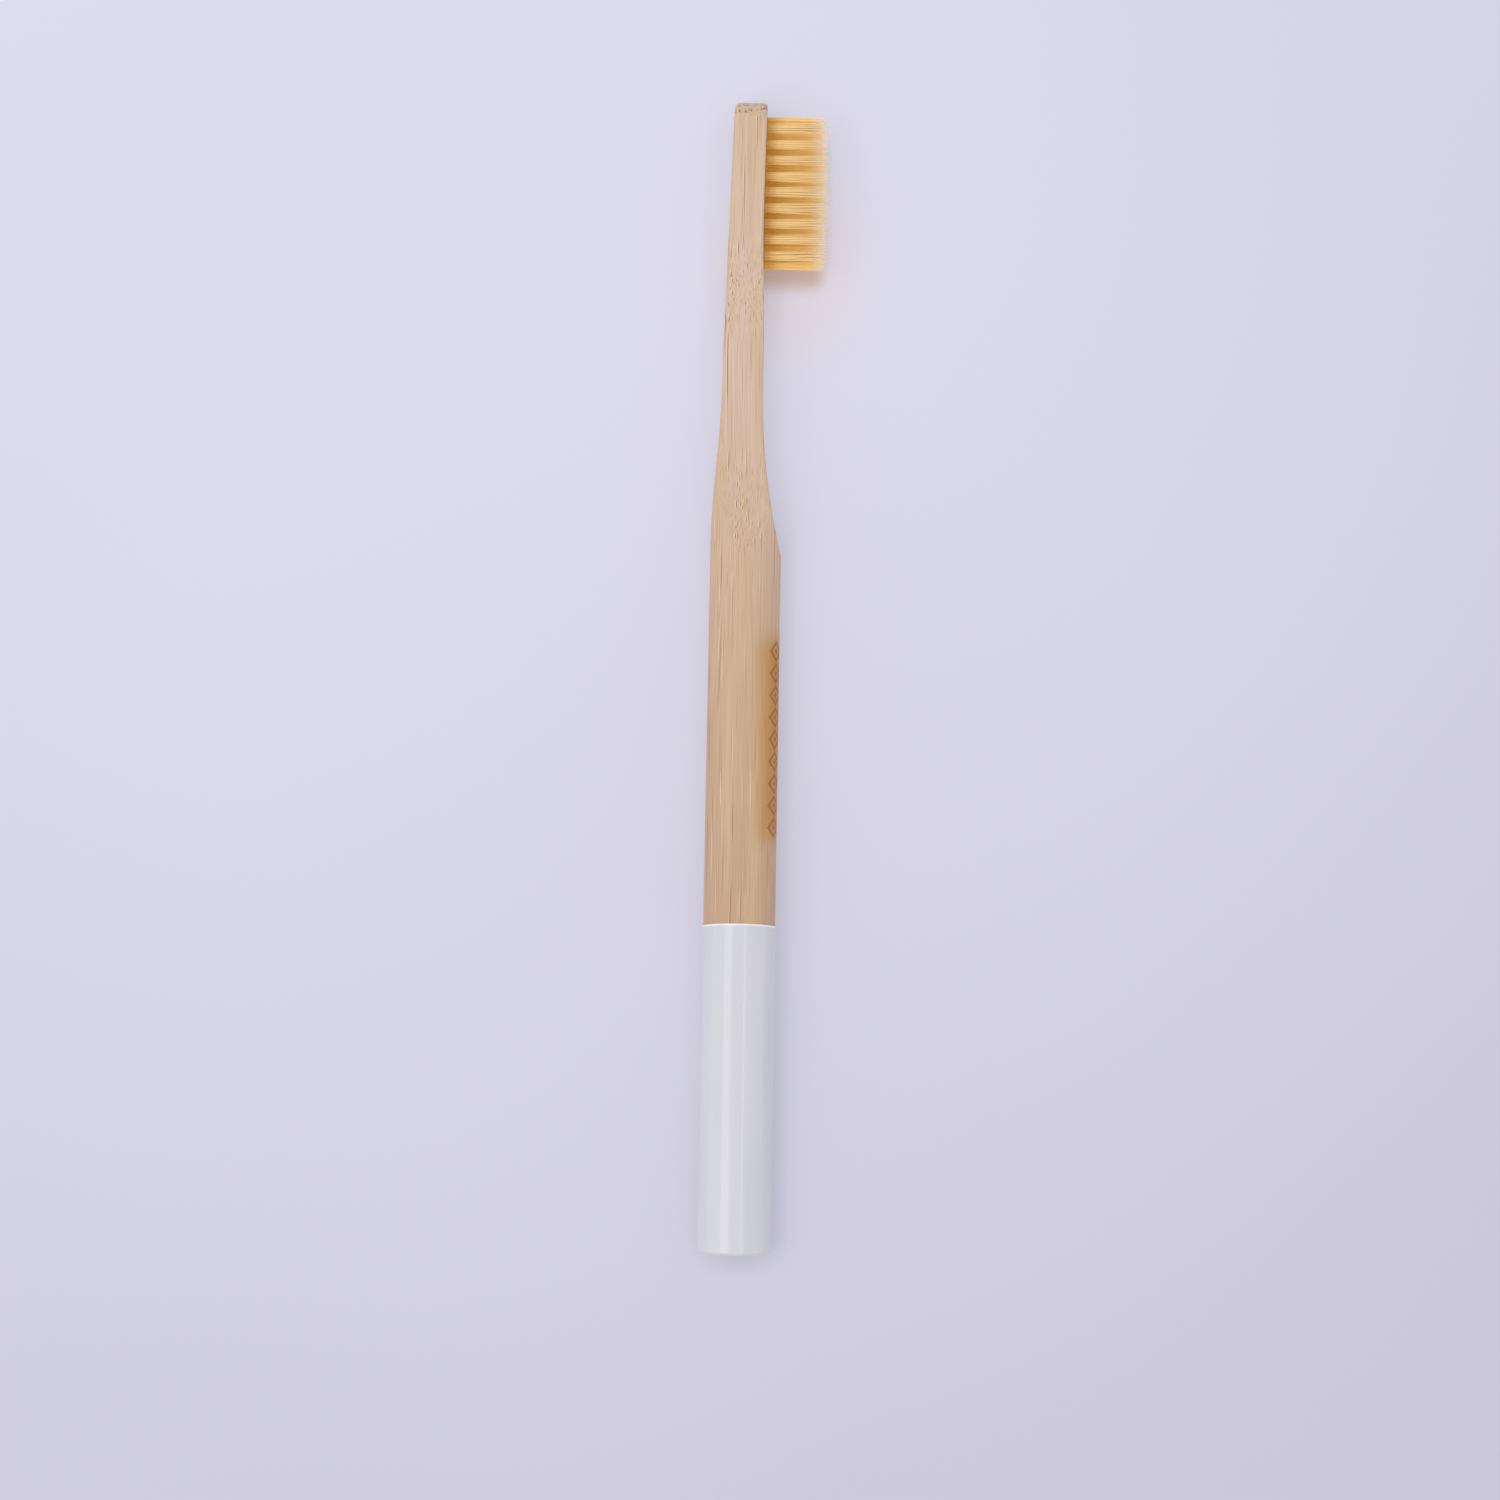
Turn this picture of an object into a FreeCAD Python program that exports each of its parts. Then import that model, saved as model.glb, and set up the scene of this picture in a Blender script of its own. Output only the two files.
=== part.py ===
import FreeCAD, Part
import Sketcher
import math
import os

# A toothbrush lying on its side: a bamboo handle with a dipped white end and three rows of tufts.
# Along the brush is Y with the head at +Y, the bristles point to +X, and Z is up.
# Every sub-part is drawn about the brush's own axis, with 0 at the butt, and one Placement lays it down.

doc = FreeCAD.newDocument("toothbrush")
dims = doc.addObject("Spreadsheet::Sheet", "dims")

SIZES = (
    ("grip_length", 112.0, "butt to the shoulder, coat included"),
    ("neck_length", 38.0, "shoulder to where the neck starts to widen again"),
    ("throat_length", 18.0, "widening from neck to head"),
    ("head_length", 22.0, "parallel-sided head with its end"),
    ("grip_dia", 11.9, "bare grip as far as the coat's edge"),
    ("shoulder_dia", 11.7, "turned grip where the scoops begin"),
    ("butt_chamfer", 0.3, "broken edge of the wooden butt"),
    ("coat_length", 54.0, "dipped end along the axis"),
    ("coat_thickness", 0.17, "lacquer skin"),
    ("coat_chamfer", 0.4, "broken edge of the coated butt"),
    ("dip_tilt_angle", 6.0, "lean of the dip line toward the head on the upper side, degrees"),
    ("face_offset", 2.05, "bristle face from the axis, where the head begins"),
    ("face_rise", 0.35, "how far the hollow bristle face rises at the head end"),
    ("neck_rise", 0.37, "how far the neck's front stands above the bristle face"),
    ("front_scoop_length", 30.5, "shoulder to where the front scoop meets the neck's front"),
    ("front_scoop_radius", 110.0, "front scoop"),
    ("neck_thickness", 6.67, "front to back of the neck"),
    ("head_tip_thickness", 5.4, "front to back where the sloping back ends"),
    ("neck_back_length", 1.5, "straight back of the neck between its scoop and its slope"),
    ("back_taper_length", 40.5, "sloping back, as far as the head's end"),
    ("back_blend_radius", 60.0, "blend where the back starts to slope"),
    ("back_scoop_length", 36.0, "shoulder to where the back scoop meets the neck"),
    ("back_scoop_depth", 1.7, "neck's back below the top of the back scoop"),
    ("neck_width", 6.8, "narrowest width of the neck"),
    ("side_scoop_length", 24.0, "shoulder to where the side scoops meet the neck"),
    ("side_scoop_radius", 86.0, "side scoops"),
    ("head_width", 12.24, "across the head, level with the coat so that the brush lies flat"),
    ("head_corner_radius", 3.0, "corners of the head seen from the bristles"),
    ("head_crown_radius", 26.0, "gentle crown of the head's end"),
    ("front_edge_radius", 0.6, "sanded edge round the bristle face"),
    ("back_edge_radius", 1.0, "sanded edge round the back"),
    ("hole_dia", 1.7, "tuft holes"),
    ("hole_depth", 3.4, "tuft holes from the bristle face"),
    ("tuft_pitch", 2.62, "holes along a row"),
    ("row_spacing", 2.8, "between rows"),
    ("field_margin", 3.0, "first middle hole from the head end"),
    ("tuft_length", 11.0, "bristles above the face at the middle of the field"),
    ("trim_crown", 0.45, "how much shorter the end tufts are trimmed"),
    ("tuft_clearance", 0.04, "between a bundle and the wall of its hole"),
    ("tuft_spread", 0.14, "how far a bundle spreads on each side at its tips"),
    ("tip_rounding", 0.3, "rounded rim of the trimmed tips"),
    ("fold_depth", 0.6, "folded bristles between the hole's floor and the anchor"),
    ("anchor_bite", 0.2, "how far each end of an anchor bites into the wall"),
    ("anchor_height", 1.3, "anchor along the hole"),
    ("anchor_thickness", 0.28, "anchor strip"),
    ("anchor_angle", 60.0, "from the grain to the anchor's width, degrees"),
    ("cut_overrun", 4.0, "how far every cut runs past the stock"),
)
for row, (alias, value, note) in enumerate(SIZES, start=1):
    dims.set("A%d" % row, note)
    dims.set("B%d" % row, "%g" % value)
    dims.setAlias("B%d" % row, alias)
doc.recompute()

side_row_count = 9
middle_row_count = 10
tuft_side_count = 8
full_turn_angle = 360


def size(expression):
    """Value of an expression over the sheet."""
    return float(dims.evalExpression(expression))


def sheet(text):
    """An expression with its {names} written as cells of the sheet."""
    for alias, _value, _note in SIZES:
        text = text.replace("{%s}" % alias, "dims." + alias)
    return text


END = sheet("({grip_length} + {neck_length} + {throat_length} + {head_length})")
OVERRUN = sheet("{cut_overrun}")
WOOD_RADIUS = sheet("({grip_dia} / 2)")
COAT_RADIUS = sheet("({grip_dia} / 2 + {coat_thickness})")
FACE = sheet("{face_offset}")
LYING_HEIGHT = sheet("max(%s; {head_width} / 2)" % COAT_RADIUS)
ORIGIN_X = sheet("((%s - %s - {tuft_length}) / 2)" % (COAT_RADIUS, FACE))
ORIGIN_Y = "(-%s / 2)" % END


def lay_down(piece, along="0", across="0", out="0", turn=None):
    """Moves a piece from its spot on the brush's axis to where the brush lies."""
    if turn is not None:
        piece.Placement = FreeCAD.Placement(FreeCAD.Vector(), FreeCAD.Vector(1, 0, 0), size(turn))
        piece.setExpression(".Placement.Rotation.Angle", turn)
    piece.setExpression(".Placement.Base.x", "%s + %s" % (ORIGIN_X, out))
    piece.setExpression(".Placement.Base.y", "%s + %s" % (ORIGIN_Y, along))
    piece.setExpression(".Placement.Base.z", "%s + %s" % (LYING_HEIGHT, across))


def new_body(label):
    body = doc.addObject("PartDesign::Body", label)
    body.Label = label
    return body


def datum(body, role):
    for feature in body.Origin.OriginFeatures:
        if feature.Role == role:
            return feature
    raise ValueError(role)


def new_sketch(body, name, role, height=None):
    sketch = body.newObject("Sketcher::SketchObject", name)
    sketch.AttachmentSupport = [(datum(body, role), "")]
    sketch.MapMode = "FlatFace"
    if height is not None:
        sketch.setExpression(".AttachmentOffset.Base.z", height)
    return sketch


def bind(sketch, constraint, expression):
    """Adds a constraint whose value is an expression over the sheet."""
    number = sketch.addConstraint(constraint)
    sketch.setExpression("Constraints[%d]" % number, expression)


def pin_point(sketch, curve, end, point):
    """Ties a point of the sketch to a pair of expressions."""
    for kind, expression in zip(("DistanceX", "DistanceY"), point):
        bind(sketch, Sketcher.Constraint(kind, -1, 1, curve, end, size(expression)), expression)


def draw_outline(sketch, points, arcs):
    """Closed outline through points: lines, or arcs where arcs holds {index: (centre, radius, turns left)}."""
    spots = [FreeCAD.Vector(size(first), size(second), 0) for first, second in points]
    curves = []
    for index, start in enumerate(spots):
        finish = spots[(index + 1) % len(spots)]
        ends = (1, 2)
        geometry = Part.LineSegment(start, finish)
        if index in arcs:
            centre, radius, left = arcs[index]
            middle = FreeCAD.Vector(size(centre[0]), size(centre[1]), 0)
            first, last = (start, finish) if left else (finish, start)
            begin = math.atan2(first.y - middle.y, first.x - middle.x)
            stop = math.atan2(last.y - middle.y, last.x - middle.x)
            circle = Part.Circle(middle, FreeCAD.Vector(0, 0, 1), size(radius))
            geometry = Part.ArcOfCircle(circle, begin, stop)
            ends = (1, 2) if left else (2, 1)
        curves.append((sketch.addGeometry(geometry, False), ends))
    for index, (curve, ends) in enumerate(curves):
        after, after_ends = curves[(index + 1) % len(curves)]
        sketch.addConstraint(Sketcher.Constraint("Coincident", curve, ends[1], after, after_ends[0]))
    for index, (curve, ends) in enumerate(curves):
        pin_point(sketch, curve, ends[0], points[index])
        if index in arcs:
            bind(sketch, Sketcher.Constraint("Radius", curve, size(arcs[index][1])), arcs[index][1])
    return sketch


def finish_feature(body, feature):
    feature.Refine = True
    body.Tip = feature
    doc.recompute()
    if feature.Shape.isNull() or "Invalid" in feature.State or "Error" in feature.State:
        raise RuntimeError("%s failed: %s" % (feature.Name, feature.State))
    return feature


def turned(body, name, sketch, kind="PartDesign::Revolution"):
    """A full turn of the sketch about the brush's axis."""
    feature = body.newObject(kind, name)
    feature.Profile = sketch
    feature.ReferenceAxis = (sketch, ["V_Axis"])
    feature.Angle = full_turn_angle
    return finish_feature(body, feature)


def milled(body, name, sketch, depth, kind="PartDesign::Pocket", both_ways=False):
    feature = body.newObject(kind, name)
    feature.Profile = sketch
    feature.Midplane = both_ways
    feature.setExpression("Length", depth)
    return finish_feature(body, feature)


def along_row(body, name, original, sketch, count):
    """Repeats a cut along a row, from the head end toward the neck."""
    pattern = body.newObject("PartDesign::LinearPattern", name)
    pattern.Originals = [original]
    pattern.Direction = (sketch, ["H_Axis"])
    pattern.Reversed = True
    pattern.Occurrences = count
    pattern.setExpression("Length", sheet("{tuft_pitch} * %d" % (count - 1)))
    return finish_feature(body, pattern)


def arc_reach(radius, run):
    """How far an arc of this radius has left its tangent after this run."""
    return "(%s - sqrt((%s)^2 - (%s)^2))" % (radius, radius, run)


# The handle's neck and head are milled from the front, back and sides before the grip is turned.
handle = new_body("bamboo_handle")

SHOULDER = sheet("{grip_length}")
PAST_END = "(%s + %s)" % (END, OVERRUN)
NECK_TOP = sheet("({grip_length} + {neck_length})")
HEAD_ROOT = sheet("(%s + {throat_length})" % NECK_TOP)
NECK_FRONT = sheet("({face_offset} + {neck_rise})")
TIP_FRONT = sheet("({face_offset} + {face_rise})")
NECK_BACK = sheet("(%s - {neck_thickness})" % NECK_FRONT)
TIP_BACK = sheet("(%s - {head_tip_thickness})" % TIP_FRONT)
BACK_RUN = sheet("{back_scoop_length}")
FLAT_BACK = sheet("{neck_back_length}")
SLOPE_START = "(%s + %s + %s)" % (SHOULDER, BACK_RUN, FLAT_BACK)
SLOPE_END = sheet("(%s + {back_taper_length})" % SLOPE_START)
SLOPE = sheet("atan((%s - %s) / {back_taper_length})" % (TIP_BACK, NECK_BACK))
blend_room_share = 0.9
BLEND_ROOM = "(%g * %s / tan(%s / 2))" % (blend_room_share, FLAT_BACK, SLOPE)
BLEND = sheet("min({back_blend_radius}; %s)" % BLEND_ROOM)
BLEND_REACH = "(%s * tan(%s / 2))" % (BLEND, SLOPE)
FRONT_SCOOP = sheet("{front_scoop_radius}")
FRONT_RUN = sheet("{front_scoop_length}")
DIP = sheet("(({throat_length}^2 + {neck_rise}^2) / (4 * {neck_rise}))")
HOLLOW = sheet("(({head_length}^2 + {face_rise}^2) / (2 * {face_rise}))")
HOLLOW_RUN = sheet("({head_length} + {cut_overrun})")
BACK_TOP = sheet("(%s - {back_scoop_depth})" % NECK_BACK)
BACK_SCOOP = sheet("(({back_scoop_length}^2 + {back_scoop_depth}^2) / (4 * {back_scoop_depth}))")

side_points = (
    ("%s + %s" % (NECK_FRONT, arc_reach(FRONT_SCOOP, FRONT_RUN)), SHOULDER),
    (NECK_FRONT, "%s + %s" % (SHOULDER, FRONT_RUN)),
    (NECK_FRONT, NECK_TOP),
    ("(%s + %s) / 2" % (NECK_FRONT, FACE), "(%s + %s) / 2" % (NECK_TOP, HEAD_ROOT)),
    (FACE, HEAD_ROOT),
    ("%s + %s" % (FACE, arc_reach(HOLLOW, HOLLOW_RUN)), PAST_END),
    ("%s + (%s - %s) * tan(%s)" % (TIP_BACK, PAST_END, SLOPE_END, SLOPE), PAST_END),
    (
        "%s + %s * sin(%s)" % (NECK_BACK, BLEND_REACH, SLOPE),
        "%s + %s * cos(%s)" % (SLOPE_START, BLEND_REACH, SLOPE),
    ),
    (NECK_BACK, "%s - %s" % (SLOPE_START, BLEND_REACH)),
    (NECK_BACK, "%s + %s" % (SHOULDER, BACK_RUN)),
    ("(%s + %s) / 2" % (NECK_BACK, BACK_TOP), "%s + %s / 2" % (SHOULDER, BACK_RUN)),
    (BACK_TOP, SHOULDER),
)
side_arcs = {
    0: (("%s + %s" % (NECK_FRONT, FRONT_SCOOP), "%s + %s" % (SHOULDER, FRONT_RUN)), FRONT_SCOOP, False),
    2: (("%s - %s" % (NECK_FRONT, DIP), NECK_TOP), DIP, True),
    3: (("%s + %s" % (FACE, DIP), HEAD_ROOT), DIP, False),
    4: (("%s + %s" % (FACE, HOLLOW), HEAD_ROOT), HOLLOW, False),
    7: (("%s + %s" % (NECK_BACK, BLEND), "%s - %s" % (SLOPE_START, BLEND_REACH)), BLEND, True),
    9: (("%s - %s" % (NECK_BACK, BACK_SCOOP), "%s + %s" % (SHOULDER, BACK_RUN)), BACK_SCOOP, False),
    10: (("%s + %s" % (BACK_TOP, BACK_SCOOP), SHOULDER), BACK_SCOOP, True),
}
side_sketch = draw_outline(new_sketch(handle, "side_outline", "XY_Plane"), side_points, side_arcs)
STOCK_WIDTH = sheet("(max({head_width}; {grip_dia}) + 2 * {cut_overrun})")
milled(handle, "side_milled", side_sketch, STOCK_WIDTH, "PartDesign::Pad", True)

# The waste beside the plan outline is cut through front to back on one side and mirrored.
SIDE_SCOOP = sheet("{side_scoop_radius}")
SIDE_RUN = sheet("{side_scoop_length}")
HALF_NECK = sheet("({neck_width} / 2)")
HALF_HEAD = sheet("({head_width} / 2)")
RISE = "(%s - %s)" % (HALF_HEAD, HALF_NECK)
THROAT = sheet("(({throat_length}^2 + %s^2) / (4 * %s))" % (RISE, RISE))
CORNER = sheet("{head_corner_radius}")
CROWN = sheet("{head_crown_radius}")
CROWN_CENTRE = "(%s - %s)" % (END, CROWN)
CORNER_ACROSS = "(%s - %s)" % (HALF_HEAD, CORNER)
CORNER_OUT = "sqrt((%s - %s)^2 - %s^2)" % (CROWN, CORNER, CORNER_ACROSS)
CORNER_ALONG = "(%s + %s)" % (CROWN_CENTRE, CORNER_OUT)
TOUCH_SHARE = "(%s / (%s - %s))" % (CROWN, CROWN, CORNER)
WASTE = "(%s / 2 + %s)" % (STOCK_WIDTH, OVERRUN)

plan_points = (
    (SHOULDER, "%s + %s" % (HALF_NECK, arc_reach(SIDE_SCOOP, SIDE_RUN))),
    ("%s + %s" % (SHOULDER, SIDE_RUN), HALF_NECK),
    (NECK_TOP, HALF_NECK),
    ("(%s + %s) / 2" % (NECK_TOP, HEAD_ROOT), "(%s + %s) / 2" % (HALF_NECK, HALF_HEAD)),
    (HEAD_ROOT, HALF_HEAD),
    (CORNER_ALONG, HALF_HEAD),
    ("%s + %s * %s" % (CROWN_CENTRE, TOUCH_SHARE, CORNER_OUT), "%s * %s" % (TOUCH_SHARE, CORNER_ACROSS)),
    (END, "0"),
    ("%s + %s" % (PAST_END, OVERRUN), "0"),
    ("%s + %s" % (PAST_END, OVERRUN), WASTE),
    (SHOULDER, WASTE),
)
plan_arcs = {
    0: (("%s + %s" % (SHOULDER, SIDE_RUN), "%s + %s" % (HALF_NECK, SIDE_SCOOP)), SIDE_SCOOP, True),
    2: ((NECK_TOP, "%s + %s" % (HALF_NECK, THROAT)), THROAT, True),
    3: ((HEAD_ROOT, "%s - %s" % (HALF_HEAD, THROAT)), THROAT, False),
    5: ((CORNER_ALONG, CORNER_ACROSS), CORNER, False),
    6: ((CROWN_CENTRE, "0"), CROWN, False),
}
plan_sketch = draw_outline(new_sketch(handle, "plan_waste", "YZ_Plane"), plan_points, plan_arcs)
one_side = milled(handle, "plan_milled", plan_sketch, "4 * %s" % STOCK_WIDTH, both_ways=True)
mirror = handle.newObject("PartDesign::Mirrored", "plan_milled_both")
mirror.Originals = [one_side]
mirror.MirrorPlane = (datum(handle, "XY_Plane"), [""])
finish_feature(handle, mirror)


def rim_edges(shape, facing):
    """Edges between the faces that look toward +X or -X and the walls beside them."""
    names = []
    for number, edge in enumerate(shape.Edges, start=1):
        normals = []
        for face in shape.ancestorsOfType(edge, Part.Face):
            low_u, high_u, low_v, high_v = face.ParameterRange
            normals.append(face.normalAt((low_u + high_u) / 2, (low_v + high_v) / 2))
        looks = [normal.x * facing > math.sqrt(1 / 2) for normal in normals]
        is_cap = [normal.y < -math.sqrt(1 / 2) for normal in normals]
        if len(normals) == 2 and looks.count(True) == 1 and not any(is_cap):
            names.append("Edge%d" % number)
    return names


for name, facing, radius in (
    ("front_edges", 1, "{front_edge_radius}"),
    ("back_edges", -1, "{back_edge_radius}"),
):
    rough = handle.Tip
    sanded = handle.newObject("PartDesign::Fillet", name)
    sanded.Base = (rough, rim_edges(rough.Shape, facing))
    sanded.setExpression("Radius", sheet(radius))
    finish_feature(handle, sanded)

# The lathe takes the wide ends of the scoops down to the shoulder's round, then the round grip joins it.
SHOULDER_RADIUS = sheet("({shoulder_dia} / 2)")
FAR_OUT = sheet("(2 * {grip_dia} + {head_width})")
LATHE_END = "(%s + %s)" % (SHOULDER, BACK_RUN)
turning_points = (
    (SHOULDER_RADIUS, "%s - %s" % (SHOULDER, OVERRUN)),
    (SHOULDER_RADIUS, LATHE_END),
    (FAR_OUT, "%s + %s - %s" % (LATHE_END, FAR_OUT, SHOULDER_RADIUS)),
    (FAR_OUT, "%s - %s" % (SHOULDER, OVERRUN)),
)
turning_sketch = draw_outline(new_sketch(handle, "turning_waste", "XY_Plane"), turning_points, {})
turned(handle, "shoulder_turned", turning_sketch, "PartDesign::Groove")

WOOD_BUTT = sheet("{coat_thickness}")
CHAMFER = sheet("{butt_chamfer}")
grip_points = (
    ("0", WOOD_BUTT),
    ("%s - %s" % (WOOD_RADIUS, CHAMFER), WOOD_BUTT),
    (WOOD_RADIUS, "%s + %s" % (WOOD_BUTT, CHAMFER)),
    (WOOD_RADIUS, sheet("{coat_length}")),
    (SHOULDER_RADIUS, SHOULDER),
    ("0", SHOULDER),
)
turned(handle, "grip_turned", draw_outline(new_sketch(handle, "grip_outline", "XY_Plane"), grip_points, {}))

# Blind tuft holes, each with the slit that its anchor cuts on its way in.
FIRST_MIDDLE = sheet("(%s - {field_margin})" % END)
FIRST_SIDE = sheet("(%s - {field_margin} - {tuft_pitch} / 2)" % END)
HOLE_DIA = sheet("{hole_dia}")
ANCHOR_WIDTH = sheet("({hole_dia} + 2 * {anchor_bite})")
HALF_STRIP = sheet("({anchor_thickness} / 2)")
SLANT = sheet("{anchor_angle}")
ROW_GAP = sheet("{row_spacing}")


def drill_row(name, first, rows, count):
    holes = new_sketch(handle, name + "_holes", "YZ_Plane", TIP_FRONT)
    slits = new_sketch(handle, name + "_slits", "YZ_Plane", TIP_FRONT)
    for across in rows:
        centre = FreeCAD.Vector(size(first), size(across), 0)
        circle = Part.Circle(centre, FreeCAD.Vector(0, 0, 1), size(HOLE_DIA) / 2)
        curve = holes.addGeometry(circle, False)
        pin_point(holes, curve, 3, (first, across))
        bind(holes, Sketcher.Constraint("Diameter", curve, size(HOLE_DIA)), HOLE_DIA)
        corners = []
        for wide, thick in ((1, 1), (-1, 1), (-1, -1), (1, -1)):
            reach = "%d * %s / 2" % (wide, ANCHOR_WIDTH)
            strip = "%d * %s" % (thick, HALF_STRIP)
            corners.append((
                "%s + %s * cos(%s) - %s * sin(%s)" % (first, reach, SLANT, strip, SLANT),
                "%s + %s * sin(%s) + %s * cos(%s)" % (across, reach, SLANT, strip, SLANT),
            ))
        draw_outline(slits, corners, {})
    for tool, sketch, depth in (
        ("drilled", holes, sheet("{face_rise} + {hole_depth}")),
        ("slit", slits, sheet("{face_rise} + {hole_depth} - {fold_depth}")),
    ):
        cut = milled(handle, name + "_" + tool, sketch, depth)
        along_row(handle, name + "_" + tool + "_row", cut, sketch, count)


drill_row("middle", FIRST_MIDDLE, ("0",), middle_row_count)
drill_row("side", FIRST_SIDE, (ROW_GAP, "-" + ROW_GAP), side_row_count)
lay_down(handle)

# The coat is a cup on the butt, cut off along the leaning line that the dip left.
coat = new_body("white_dip_coat")
LEAN = sheet("{dip_tilt_angle}")
COAT_TOP = sheet("({coat_length} + {grip_dia} * tan(%s))" % LEAN)
COAT_EDGE = sheet("{coat_chamfer}")
coat_points = (
    ("0", "0"),
    ("%s - %s" % (COAT_RADIUS, COAT_EDGE), "0"),
    (COAT_RADIUS, COAT_EDGE),
    (COAT_RADIUS, COAT_TOP),
    (WOOD_RADIUS, COAT_TOP),
    (WOOD_RADIUS, "%s + %s" % (WOOD_BUTT, CHAMFER)),
    ("%s - %s" % (WOOD_RADIUS, CHAMFER), WOOD_BUTT),
    ("0", WOOD_BUTT),
)
turned(coat, "coat_turned", draw_outline(new_sketch(coat, "coat_outline", "XY_Plane"), coat_points, {}))
CUT_OUT = "(%s + %s)" % (COAT_RADIUS, OVERRUN)
dip_points = (
    (sheet("{coat_length} - %s * tan(%s)" % (CUT_OUT, LEAN)), "-" + CUT_OUT),
    (sheet("{coat_length} + %s * tan(%s)" % (CUT_OUT, LEAN)), CUT_OUT),
    ("%s + %s" % (COAT_TOP, OVERRUN), CUT_OUT),
    ("%s + %s" % (COAT_TOP, OVERRUN), "-" + CUT_OUT),
)
dip_sketch = draw_outline(new_sketch(coat, "dip_line", "YZ_Plane"), dip_points, {})
milled(coat, "dip_cut", dip_sketch, "4 * %s" % COAT_RADIUS, both_ways=True)
lay_down(coat)

# A tuft is a bundle folded under its anchor: it fills its hole, spreads a little and is trimmed.
HOLE_FLOOR = sheet("(-{hole_depth})")
ANCHOR_LOW = sheet("({fold_depth} - {hole_depth})")
BUNDLE = sheet("({hole_dia} / 2 - {tuft_clearance})")
BUNDLE_TIP = sheet("(%s + {tuft_spread})" % BUNDLE)
ROUNDING = sheet("{tip_rounding}")


def bundle_ring(name, out, radius):
    """A many-sided ring across a bundle, so far out from the bristle face."""
    ring = doc.addObject("Part::RegularPolygon", name)
    ring.Polygon = tuft_side_count
    ring.setExpression("Circumradius", radius)
    ring.Placement = FreeCAD.Placement(FreeCAD.Vector(), FreeCAD.Vector(0, 1, 0), full_turn_angle / 4)
    ring.setExpression(".Placement.Base.x", out)
    return ring


def grow_tuft(label, roots, passage, along, across, trim_share):
    """One tuft; trim_share is 0 at the middle of the field and 1 at its ends."""
    tip = sheet("({tuft_length} - {trim_crown} * %.6f^2)" % trim_share)
    bundle = doc.addObject("Part::Loft", label + "_bundle")
    bundle.Sections = roots + [
        bundle_ring(label + "_rim", "%s - %s" % (tip, ROUNDING), BUNDLE_TIP),
        bundle_ring(label + "_tip", tip, "%s - %s" % (BUNDLE_TIP, ROUNDING)),
    ]
    bundle.Solid = True
    bundle.Ruled = True
    tuft = doc.addObject("Part::Cut", label)
    tuft.Label = label
    tuft.Base = bundle
    tuft.Tool = passage
    lay_down(tuft, along, across, FACE, SLANT)
    return tuft


def flat_strip(name, width):
    """A strip as high and as thick as an anchor."""
    strip = doc.addObject("Part::Box", name)
    strip.setExpression("Length", sheet("{anchor_height}"))
    strip.setExpression("Width", width)
    strip.setExpression("Height", sheet("{anchor_thickness}"))
    return strip


def set_anchor(label, along, across):
    """One anchor, centred in its hole and as wide as its slit."""
    strip = flat_strip(label, ANCHOR_WIDTH)
    corner_along = "%s / 2 * cos(%s) - %s * sin(%s)" % (ANCHOR_WIDTH, SLANT, HALF_STRIP, SLANT)
    corner_across = "%s / 2 * sin(%s) + %s * cos(%s)" % (ANCHOR_WIDTH, SLANT, HALF_STRIP, SLANT)
    lay_down(
        strip,
        "%s - (%s)" % (along, corner_along),
        "%s - (%s)" % (across, corner_across),
        "%s + %s" % (FACE, ANCHOR_LOW),
        SLANT,
    )
    return strip


roots = [bundle_ring("bundle_fold", HOLE_FLOOR, BUNDLE), bundle_ring("bundle_mouth", "0", BUNDLE)]
passage = flat_strip("fold_passage", "2 * %s" % ANCHOR_WIDTH)
passage.setExpression(".Placement.Base.x", ANCHOR_LOW)
passage.setExpression(".Placement.Base.y", "-%s" % ANCHOR_WIDTH)
passage.setExpression(".Placement.Base.z", "-%s" % HALF_STRIP)
tufts = []
strips = []
for row, first, across, count in (
    ("left", FIRST_SIDE, ROW_GAP, side_row_count),
    ("middle", FIRST_MIDDLE, "0", middle_row_count),
    ("right", FIRST_SIDE, "-" + ROW_GAP, side_row_count),
):
    for number in range(count):
        along = sheet("%s - {tuft_pitch} * %d" % (first, number))
        trim_share = abs((count - 1 - 2 * number) / (middle_row_count - 1))
        tufts.append(grow_tuft("tuft_%s_%d" % (row, number + 1), roots, passage, along, across, trim_share))
        strips.append(set_anchor("anchor_%s_%d" % (row, number + 1), along, across))

anchors = doc.addObject("Part::Compound", "tuft_anchors")
anchors.Label = "tuft_anchors"
anchors.Links = strips
doc.recompute()

for thing in doc.Objects:
    if "Invalid" in thing.State or "Error" in thing.State:
        raise RuntimeError("%s: %s" % (thing.Name, thing.State))

os.makedirs("parts", exist_ok=True)
for piece in [handle, coat, anchors] + tufts:
    if piece.Shape.isNull() or not piece.Shape.isValid():
        raise RuntimeError("%s has no valid shape" % piece.Label)
    piece.Shape.exportStep("parts/%s.step" % piece.Label)
    print(piece.Label, len(piece.Shape.Solids), "%.2f" % piece.Shape.Volume)
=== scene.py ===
# %% [markdown]
# # A bamboo toothbrush, dressed around its solid model
# The brush has four kinds of stuff in it: a bamboo handle, a white dipped coat on the grip,
# tufts of tapered bristles, and small brass anchors that hold the tufts in their holes.
# The solid model gives every place and every size. This script only adds what solids
# can't show: grain, lacquer, single bristles, the table, the light and the camera.

# %% Load the solid model
import math
import random

import bmesh
import bpy
from mathutils import Matrix, Vector


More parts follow.
